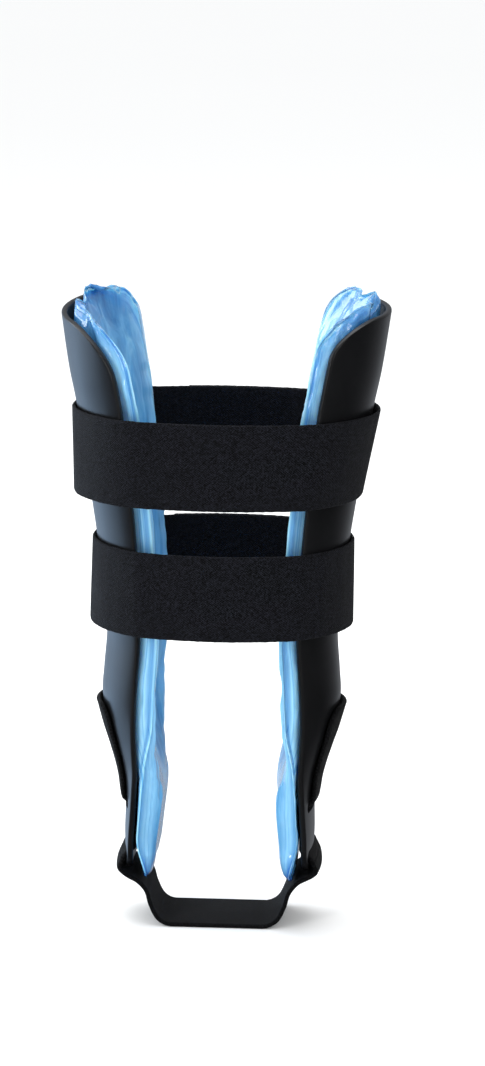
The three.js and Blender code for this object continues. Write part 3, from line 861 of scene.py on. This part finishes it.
def strap_oval(z, ahead):
    _, depth, shell_radius, centre = shell_arc(z)
    forward = depth + ahead
    radius = shell_radius + SEAT_GAP
    bend = math.asin(depth / shell_radius) + math.radians(STRAP_CORNER_AHEAD)
    kx = centre + (radius - STRAP_CORNER) * math.cos(bend)
    ky = (radius - STRAP_CORNER) * math.sin(bend)
    gap = forward - ky
    long = (kx * kx + gap * gap - STRAP_CORNER**2) / (2 * (gap - STRAP_CORNER))
    turn = math.atan2(ky - (forward - long), kx)
    arcs = [
        (centre, 0.0, radius, 0.0, bend),
        (kx, ky, STRAP_CORNER, bend, turn),
        (0.0, forward - long, long, turn, math.pi / 2),
    ]
    return arcs, [r * (b - a) for _, _, r, a, b in arcs]


def on_oval(oval, share):
    """The point and outward normal a share of the way round. 0.75 is at the toes."""
    arcs, lengths = oval
    share = share % 1.0
    quarter = int(share * 4) % 4
    within = share * 4 - int(share * 4)
    s = (1 - within if quarter % 2 else within) * sum(lengths)
    k = 0
    while k < 2 and s > lengths[k]:
        s -= lengths[k]
        k += 1
    x, y, r, start, _ = arcs[k]
    angle = start + s / r
    sx, sy = ((1, 1), (-1, 1), (-1, -1), (1, -1))[quarter]
    normal = Vector((sx * math.cos(angle), sy * math.sin(angle), 0.0))
    return Vector((sx * (x + r * math.cos(angle)), sy * (y + r * math.sin(angle)), 0.0)), normal


def band_section(wide, thick, rows):
    """A band's cross section: down from the top edge, and out from the inner face."""
    r = thick / 2
    section = [(r + (wide - thick) * i / rows, thick) for i in range(rows + 1)]
    for k in range(1, SELVEDGE_STEPS):
        turn = math.pi / 2 - math.pi * k / SELVEDGE_STEPS
        section.append((wide - r + r * math.cos(turn), r + r * math.sin(turn)))
    section += [(wide - r - (wide - thick) * i / rows, 0.0) for i in range(rows + 1)]
    for k in range(1, SELVEDGE_STEPS):
        turn = -math.pi / 2 + math.pi * k / SELVEDGE_STEPS
        section.append((r - r * math.cos(turn), r + r * math.sin(turn)))
    return section


def strap_point(strap, share, down, out, seed):
    """A point of a strap, down from its top edge and out from its inner face."""
    p, normal = on_oval(strap["oval"], share)
    top_slack, low_slack = strap["slack"]["lateral" if p.x < 0 else "medial"]
    v = down / STRAP_WIDE
    ease = mix(top_slack, low_slack, v) * STRAP_WIDE
    around = Vector((math.cos(share * 2 * math.pi), math.sin(share * 2 * math.pi), 0.0))
    wave = noise.noise(around * 9.0 + Vector((0, 0, seed + down * 0.02)))
    edge = noise.noise(around * 34.0 + Vector((0, 0, seed + 5 + round(v))))
    out += STRAP_WAVE * (wave + 0.6)
    x = p.x * (1 + ease / strap["half"]) + normal.x * out
    y = p.y * (1 - STRAP_TAPER * v) + normal.y * out
    return Vector((x, y, strap["top"] - down + SELVEDGE_WAVE * edge * (2 * v - 1)))


def strap_of(top, ahead, slack):
    return {"top": top, "slack": slack, "oval": strap_oval(top, ahead), "half": shell_arc(top)[0]}


def strap_layers(mesh, along, section, loop_length=None):
    """Where each face corner is along and across the band, in metres, for its weave."""
    n = len(section)
    last = len(along) - 1
    ways, sides = [], []
    for face in mesh.polygons:
        rings = [v // n for v in face.vertices]
        at_seam = loop_length is not None and 0 in rings and last in rings
        for v, ring in zip(face.vertices, rings):
            ways.append((loop_length if at_seam and ring == 0 else along[ring]) * MM)
            sides.append(section[v % n][0] * MM)
    for name, values in (("along", ways), ("across", sides)):
        mesh.attributes.new(name, "FLOAT", "CORNER").data.foreach_set("value", values)


def make_strap(name, strap, seed):
    section = band_section(STRAP_WIDE, STRAP_THICK, STRAP_ROWS)
    round_length = sum(strap["oval"][1]) * 4
    rings, along = [], []
    for i in range(STRAP_STEPS):
        share = SEAM_AT + i / STRAP_STEPS
        rings.append([strap_point(strap, share, down, out, seed) for down, out in section])
        along.append(round_length * i / STRAP_STEPS)
    mesh = closed_mesh(name, rings, looped=True)
    strap_layers(mesh, along, section, round_length)
    band = piece(name, mesh, name.replace("_band", "_strap"), elastic)
    return band


def make_strap_end(name, strap, seed):
    """The strap's overlapping free end, with round corners, on its outside."""
    round_length = sum(strap["oval"][1]) * 4
    rings, along = [], []
    first = STRAP_THICK + SEAT_GAP
    for i in range(STRAP_END_STEPS + 1):
        t = STRAP_END_LONG * (1 - math.cos(math.pi * i / STRAP_END_STEPS)) / 2
        near = max(0.0, 1 - t / STRAP_END_ROUND)
        margin = STRAP_END_ROUND * (1 - math.sqrt(1 - near * near))
        wide = STRAP_WIDE - 2 * margin
        section = band_section(wide, STRAP_THICK, STRAP_ROWS)
        share = STRAP_END_FROM + t / round_length
        ring = []
        for down, out in section:
            ring.append(strap_point(strap, share, margin + down, first + out, seed))
        rings.append(ring)
        along.append(t)
    mesh = closed_mesh(name, rings)
    strap_layers(mesh, along, section)
    end = piece(name, mesh, name.replace("_overlap", "_strap_end"), elastic)
    return end


# Heel strap

HEEL_ROWS = 22
CURVE_STEPS = 24
ROUTE_STEPS = 48
SOLE_STEPS = 8
LIP_STEPS = 8
TAB_STEPS = 44


def through(points, steps):
    """Evenly spread points on one centripetal curve through the given ones."""
    ends = [[2 * a - b for a, b in zip(points[i], points[j])] for i, j in ((0, 1), (-1, -2))]
    full = [ends[0]] + [list(p) for p in points] + [ends[1]]
    fine = []
    for i in range(1, len(full) - 2):
        p = full[i - 1 : i + 3]
        knots = [0.0]
        for a, b in zip(p, p[1:]):
            knots.append(knots[-1] + max(1e-4, math.dist(a, b) ** 0.5))
        for k in range(CURVE_STEPS):
            t = mix(knots[1], knots[2], k / CURVE_STEPS)
            level = p
            for order in (1, 2, 3):
                made = []
                for j in range(len(level) - 1):
                    lo, hi = (knots[j], knots[j + order]) if order < 3 else (knots[1], knots[2])
                    w = (t - lo) / (hi - lo)
                    made.append([mix(a, b, w) for a, b in zip(level[j], level[j + 1])])
                level = made
            fine.append(level[0])
    fine.append(list(points[-1]))
    long = [0.0]
    for a, b in zip(fine, fine[1:]):
        long.append(long[-1] + math.dist(a, b))
    out, k = [], 0
    for i in range(steps + 1):
        at = long[-1] * i / steps
        while k < len(long) - 2 and long[k + 1] < at:
            k += 1
        w = (at - long[k]) / (long[k + 1] - long[k])
        out.append([mix(a, b, w) for a, b in zip(fine[k], fine[k + 1])])
    return out


def heel_line(column):
    """The strap's middle line on one side, from the sole's middle to the tip. column
    is that side's in HEEL_ROUTE."""
    half = HEEL_THICK / 2
    clear = half + SEAT_GAP

    def face(z):
        return shell_arc(z)[0]

    line = [[HEEL_FLAT * i / SOLE_STEPS, half] for i in range(SOLE_STEPS)]
    route = [[HEEL_FLAT, half]]
    for row in HEEL_ROUTE:
        route.append([mix(HEEL_FLAT, face(LOWER_SLOT), row[0]), mix(half, LOWER_SLOT, row[column])])
    line += through(route, ROUTE_STEPS)
    rise = SLOT_TALL / 2
    lean = math.atan2(SHELL_WALL, SLOT_TALL)
    slant = lean + math.asin(2 * clear / math.hypot(SHELL_WALL, SLOT_TALL))

    def lip(x, z, outside, start, end):
        for i in range(LIP_STEPS + 1):
            turn = mix(start, end, i / LIP_STEPS)
            line.append([x + outside * clear * math.cos(turn), z + clear * math.sin(turn)])

    lip(face(LOWER_SLOT - rise), LOWER_SLOT - rise, 1, 0.0, slant)
    lip(face(LOWER_SLOT + rise) - SHELL_WALL, LOWER_SLOT + rise, -1, -slant, 0.0)
    for share in (0.25, 0.5, 0.75):
        z = mix(LOWER_SLOT + rise, UPPER_SLOT - rise, share)
        line.append([face(z) - SHELL_WALL - clear, z])
    lip(face(UPPER_SLOT - rise) - SHELL_WALL, UPPER_SLOT - rise, -1, 0.0, slant)
    lip(face(UPPER_SLOT + rise), UPPER_SLOT + rise, 1, -slant, 0.0)
    above = UPPER_SLOT + rise * 2
    for i in range(TAB_STEPS + 1):
        t = i / TAB_STEPS
        z = mix(above, HEEL_TIP, 1 - (1 - t) ** 1.5)
        line.append([face(z) + half + HEEL_TAB_GAP + HEEL_TIP_LIFT * t**3, z])
    return line


def heel_rings(line, toward):
    """The strap's rings on one side, how far along each one is and the last section."""
    last = len(line) - 1
    long = [0.0]
    for a, b in zip(line, line[1:]):
        long.append(long[-1] + math.dist(a, b))
    rings = []
    for i, (x, z) in enumerate(line):
        before, after = line[max(0, i - 1)], line[min(last, i + 1)]
        slope = math.atan2(after[1] - before[1], after[0] - before[0]) if x > HEEL_FLAT else 0.0
        end = clamp(1 - (long[last] - long[i]) / HEEL_TIP_ROUND, 0.0, 1.0)
        half = HEEL_HALF - HEEL_TIP_ROUND * HEEL_TIP_WIDTH * (1 - math.sqrt(1 - end * end))
        radius = shell_arc(z)[2]
        bent = smooth(HEEL_THICK * 2, SHELL_FOOT, z)
        section = band_section(2 * half, HEEL_THICK, HEEL_ROWS)
        ring = []
        for down, out in section:
            y = down - half
            off = HEEL_THICK / 2 - out
            fall = radius - math.sqrt(radius**2 - y * y)
            place = toward * (x - fall * bent - math.sin(slope) * off)
            ring.append(Vector((place, y, z + math.cos(slope) * off)))
        rings.append(ring)
    return rings, long, section


def make_heel_strap(name):
    outer, outer_long, section = heel_rings(heel_line(1), -1)
    inner, inner_long, _ = heel_rings(heel_line(2), 1)
    along = [-a for a in outer_long[:0:-1]] + inner_long
    mesh = closed_mesh(name, outer[:0:-1] + inner)
    strap_layers(mesh, along, section)
    strap = piece(name, mesh, "heel_strap", hook_webbing)
    return strap


make_shell("lateral_moulding", LATERAL)
make_shell("medial_moulding", MEDIAL)
make_pad("lateral_bladder", LATERAL, 3.0)
make_pad("medial_bladder", MEDIAL, 21.0)
upper_form = strap_of(UPPER_STRAP_TOP, UPPER_STRAP_AHEAD, UPPER_SLACK)
lower_form = strap_of(LOWER_STRAP_TOP, LOWER_STRAP_AHEAD, LOWER_SLACK)
make_strap("upper_band", upper_form, 1.0)
make_strap_end("upper_overlap", upper_form, 1.0)
make_strap("lower_band", lower_form, 40.0)
make_strap_end("lower_overlap", lower_form, 40.0)
make_heel_strap("threaded_heel_strap")


# Floor, light and camera

floor_mesh = bpy.data.meshes.new("floor")
FLOOR_HALF = 90.0
corners = [(-1, -1), (1, -1), (1, 1), (-1, 1)]
floor_mesh.from_pydata([(x * FLOOR_HALF, y * FLOOR_HALF, 0.0) for x, y in corners], [], [(0, 1, 2, 3)])
floor = bpy.data.objects.new("floor", floor_mesh)
bpy.context.scene.collection.objects.link(floor)
floor.data.materials.append(pale_floor())
floor.visible_glossy = False

# A pale sky, white overhead and at the horizon. The gloss mirrors it dimly, as in a
# dark studio, with a large pale card on the left and a small one behind on the right.
world = bpy.data.worlds.new("studio")
bpy.context.scene.world = world
world.use_nodes = True
sky = world.node_tree
direction = sky.nodes.new("ShaderNodeTexCoord")


def sky_shade(factor, *stops):
    node = sky.nodes.new("ShaderNodeValToRGB")
    elements = node.color_ramp.elements
    while len(elements) < len(stops):
        elements.new(0.5)
    for element, (place, colour) in zip(elements, stops):
        element.position = place
        element.color = (*colour, 1.0)
    sky.links.new(factor, node.inputs["Fac"])
    return node.outputs["Color"]


parts = sky.nodes.new("ShaderNodeSeparateXYZ")
sky.links.new(direction.outputs["Generated"], parts.inputs["Vector"])


def card_at(way, *stops):
    """A round card that lies toward way. Its stops go from its rim, by cosine."""
    toward = sky.nodes.new("ShaderNodeVectorMath")
    toward.operation = "DOT_PRODUCT"
    toward.inputs[1].default_value = Vector(way).normalized()
    sky.links.new(direction.outputs["Generated"], toward.inputs[0])
    return sky_shade(toward.outputs["Value"], *stops)


dome = sky_shade(
    parts.outputs["Z"],
    (0.0, (0.02, 0.022, 0.025)),
    (0.012, (1.0, 1.0, 1.0)),
    (0.14, (1.0, 1.0, 1.0)),
    (0.26, (0.7, 0.71, 0.73)),
    (0.5, (0.8, 0.81, 0.82)),
    (0.8, (1.25, 1.25, 1.25)),
)
left_card = card_at(
    (-0.93, 0.3, -0.22),
    (0.25, (0.0, 0.0, 0.0)),
    (0.55, (0.5, 0.65, 0.84)),
    (0.8, (0.8, 1.08, 1.45)),
    (0.97, (1.35, 1.95, 2.75)),
)
to_rear = sky_shade(parts.outputs["Y"], (0.04, (0.0, 0.0, 0.0)), (0.14, (1.0, 1.0, 1.0)))
low_part = card_at(
    (0.0, 0.0, -1.0),
    (0.06, (0.5, 0.5, 0.5)),
    (0.25, (1.0, 1.0, 1.0)),
    (0.29, (1.0, 1.0, 1.0)),
    (0.38, (0.4, 0.4, 0.4)),
)
right_card = card_at(
    (0.3, 0.92, -0.26),
    (0.7, (0.0, 0.0, 0.0)),
    (0.82, (0.07, 0.07, 0.075)),
    (0.9, (0.15, 0.155, 0.165)),
    (0.96, (0.23, 0.24, 0.26)),
    (1.0, (0.4, 0.42, 0.45)),
)
mirrored = sky.nodes.new("ShaderNodeLightPath").outputs["Is Glossy Ray"]


def sky_mix(blend, a, b):
    """a where the sky is seen or gives light, and a with b where gloss mirrors it."""
    node = sky.nodes.new("ShaderNodeMix")
    node.data_type = "RGBA"
    node.blend_type = blend
    sky.links.new(mirrored, node.inputs["Factor"])
    sky.links.new(a, node.inputs["A"])
    if isinstance(b, tuple):
        node.inputs["B"].default_value = b
    else:
        sky.links.new(b, node.inputs["B"])
    return node.outputs["Result"]


dimmed = sky_mix("MULTIPLY", dome, (0.3, 0.31, 0.33, 1.0))
behind = sky_mix("MULTIPLY", sky_mix("MULTIPLY", left_card, to_rear), low_part)
both = sky_mix("ADD", sky_mix("ADD", dimmed, behind), right_card)
sky.links.new(both, sky.nodes["Background"].inputs["Color"])
bpy.context.scene.view_settings.view_transform = "Standard"


def soft_light(name, place, at, wide, tall, watts, colour=(1.0, 1.0, 1.0)):
    data = bpy.data.lights.new(name, "AREA")
    data.shape = "RECTANGLE"
    data.size = wide
    data.size_y = tall
    data.energy = watts
    data.color = colour
    obj = bpy.data.objects.new(name, data)
    bpy.context.scene.collection.objects.link(obj)
    obj.location = place
    obj.rotation_euler = (Vector(at) - Vector(place)).to_track_quat("-Z", "Y").to_euler()
    obj.visible_camera = False


MIDDLE = (0.0, 0.0, 0.14)
soft_light("key", (-1.5, 0.5, 0.5), MIDDLE, 1.1, 1.0, 14.0, (0.86, 0.94, 1.0))
soft_light("top", (-0.3, 0.3, 1.7), MIDDLE, 1.6, 1.6, 20.0)
soft_light("left strip", (-0.62, -0.8, 0.36), (0.0, 0.0, 0.3), 0.09, 0.7, 4.2)
soft_light("right strip", (0.75, -0.55, 0.36), (0.0, 0.0, 0.3), 0.05, 0.7, 1.3)

# The camera is fitted to the photograph, in the same frame as the sizes above
CAMERA_AWAY = 1500.0  # millimetres from the brace's upright axis
CAMERA_HIGH = 470.0
CAMERA_TURN = math.radians(3.0)
CAMERA_ROLL = math.radians(0.73)
LOOKS_AT = Vector((8.0, 0.0, 169.0))
FRAME_TALL = 1066
FOCAL_PIXELS = 3607.0  # focal length in pixels of a frame FRAME_TALL high
SENSOR = 36.0

aside = CAMERA_AWAY * math.sin(CAMERA_TURN)
eye = Vector((aside, -CAMERA_AWAY * math.cos(CAMERA_TURN), CAMERA_HIGH))
ahead = (LOOKS_AT - eye).normalized()
right = ahead.cross(Vector((0, 0, 1))).normalized()
up = right.cross(ahead)
turned_right = right * math.cos(CAMERA_ROLL) + up * math.sin(CAMERA_ROLL)
turned_up = up * math.cos(CAMERA_ROLL) - right * math.sin(CAMERA_ROLL)
lens = bpy.data.cameras.new("camera")
lens.sensor_width = SENSOR
lens.sensor_fit = "AUTO"
lens.lens = FOCAL_PIXELS / FRAME_TALL * SENSOR
camera = bpy.data.objects.new("camera", lens)
bpy.context.scene.collection.objects.link(camera)
spin = Matrix((turned_right, turned_up, -ahead)).transposed().to_4x4()
camera.matrix_world = Matrix.Translation(eye * MM + SHIFT) @ spin
bpy.context.scene.camera = camera
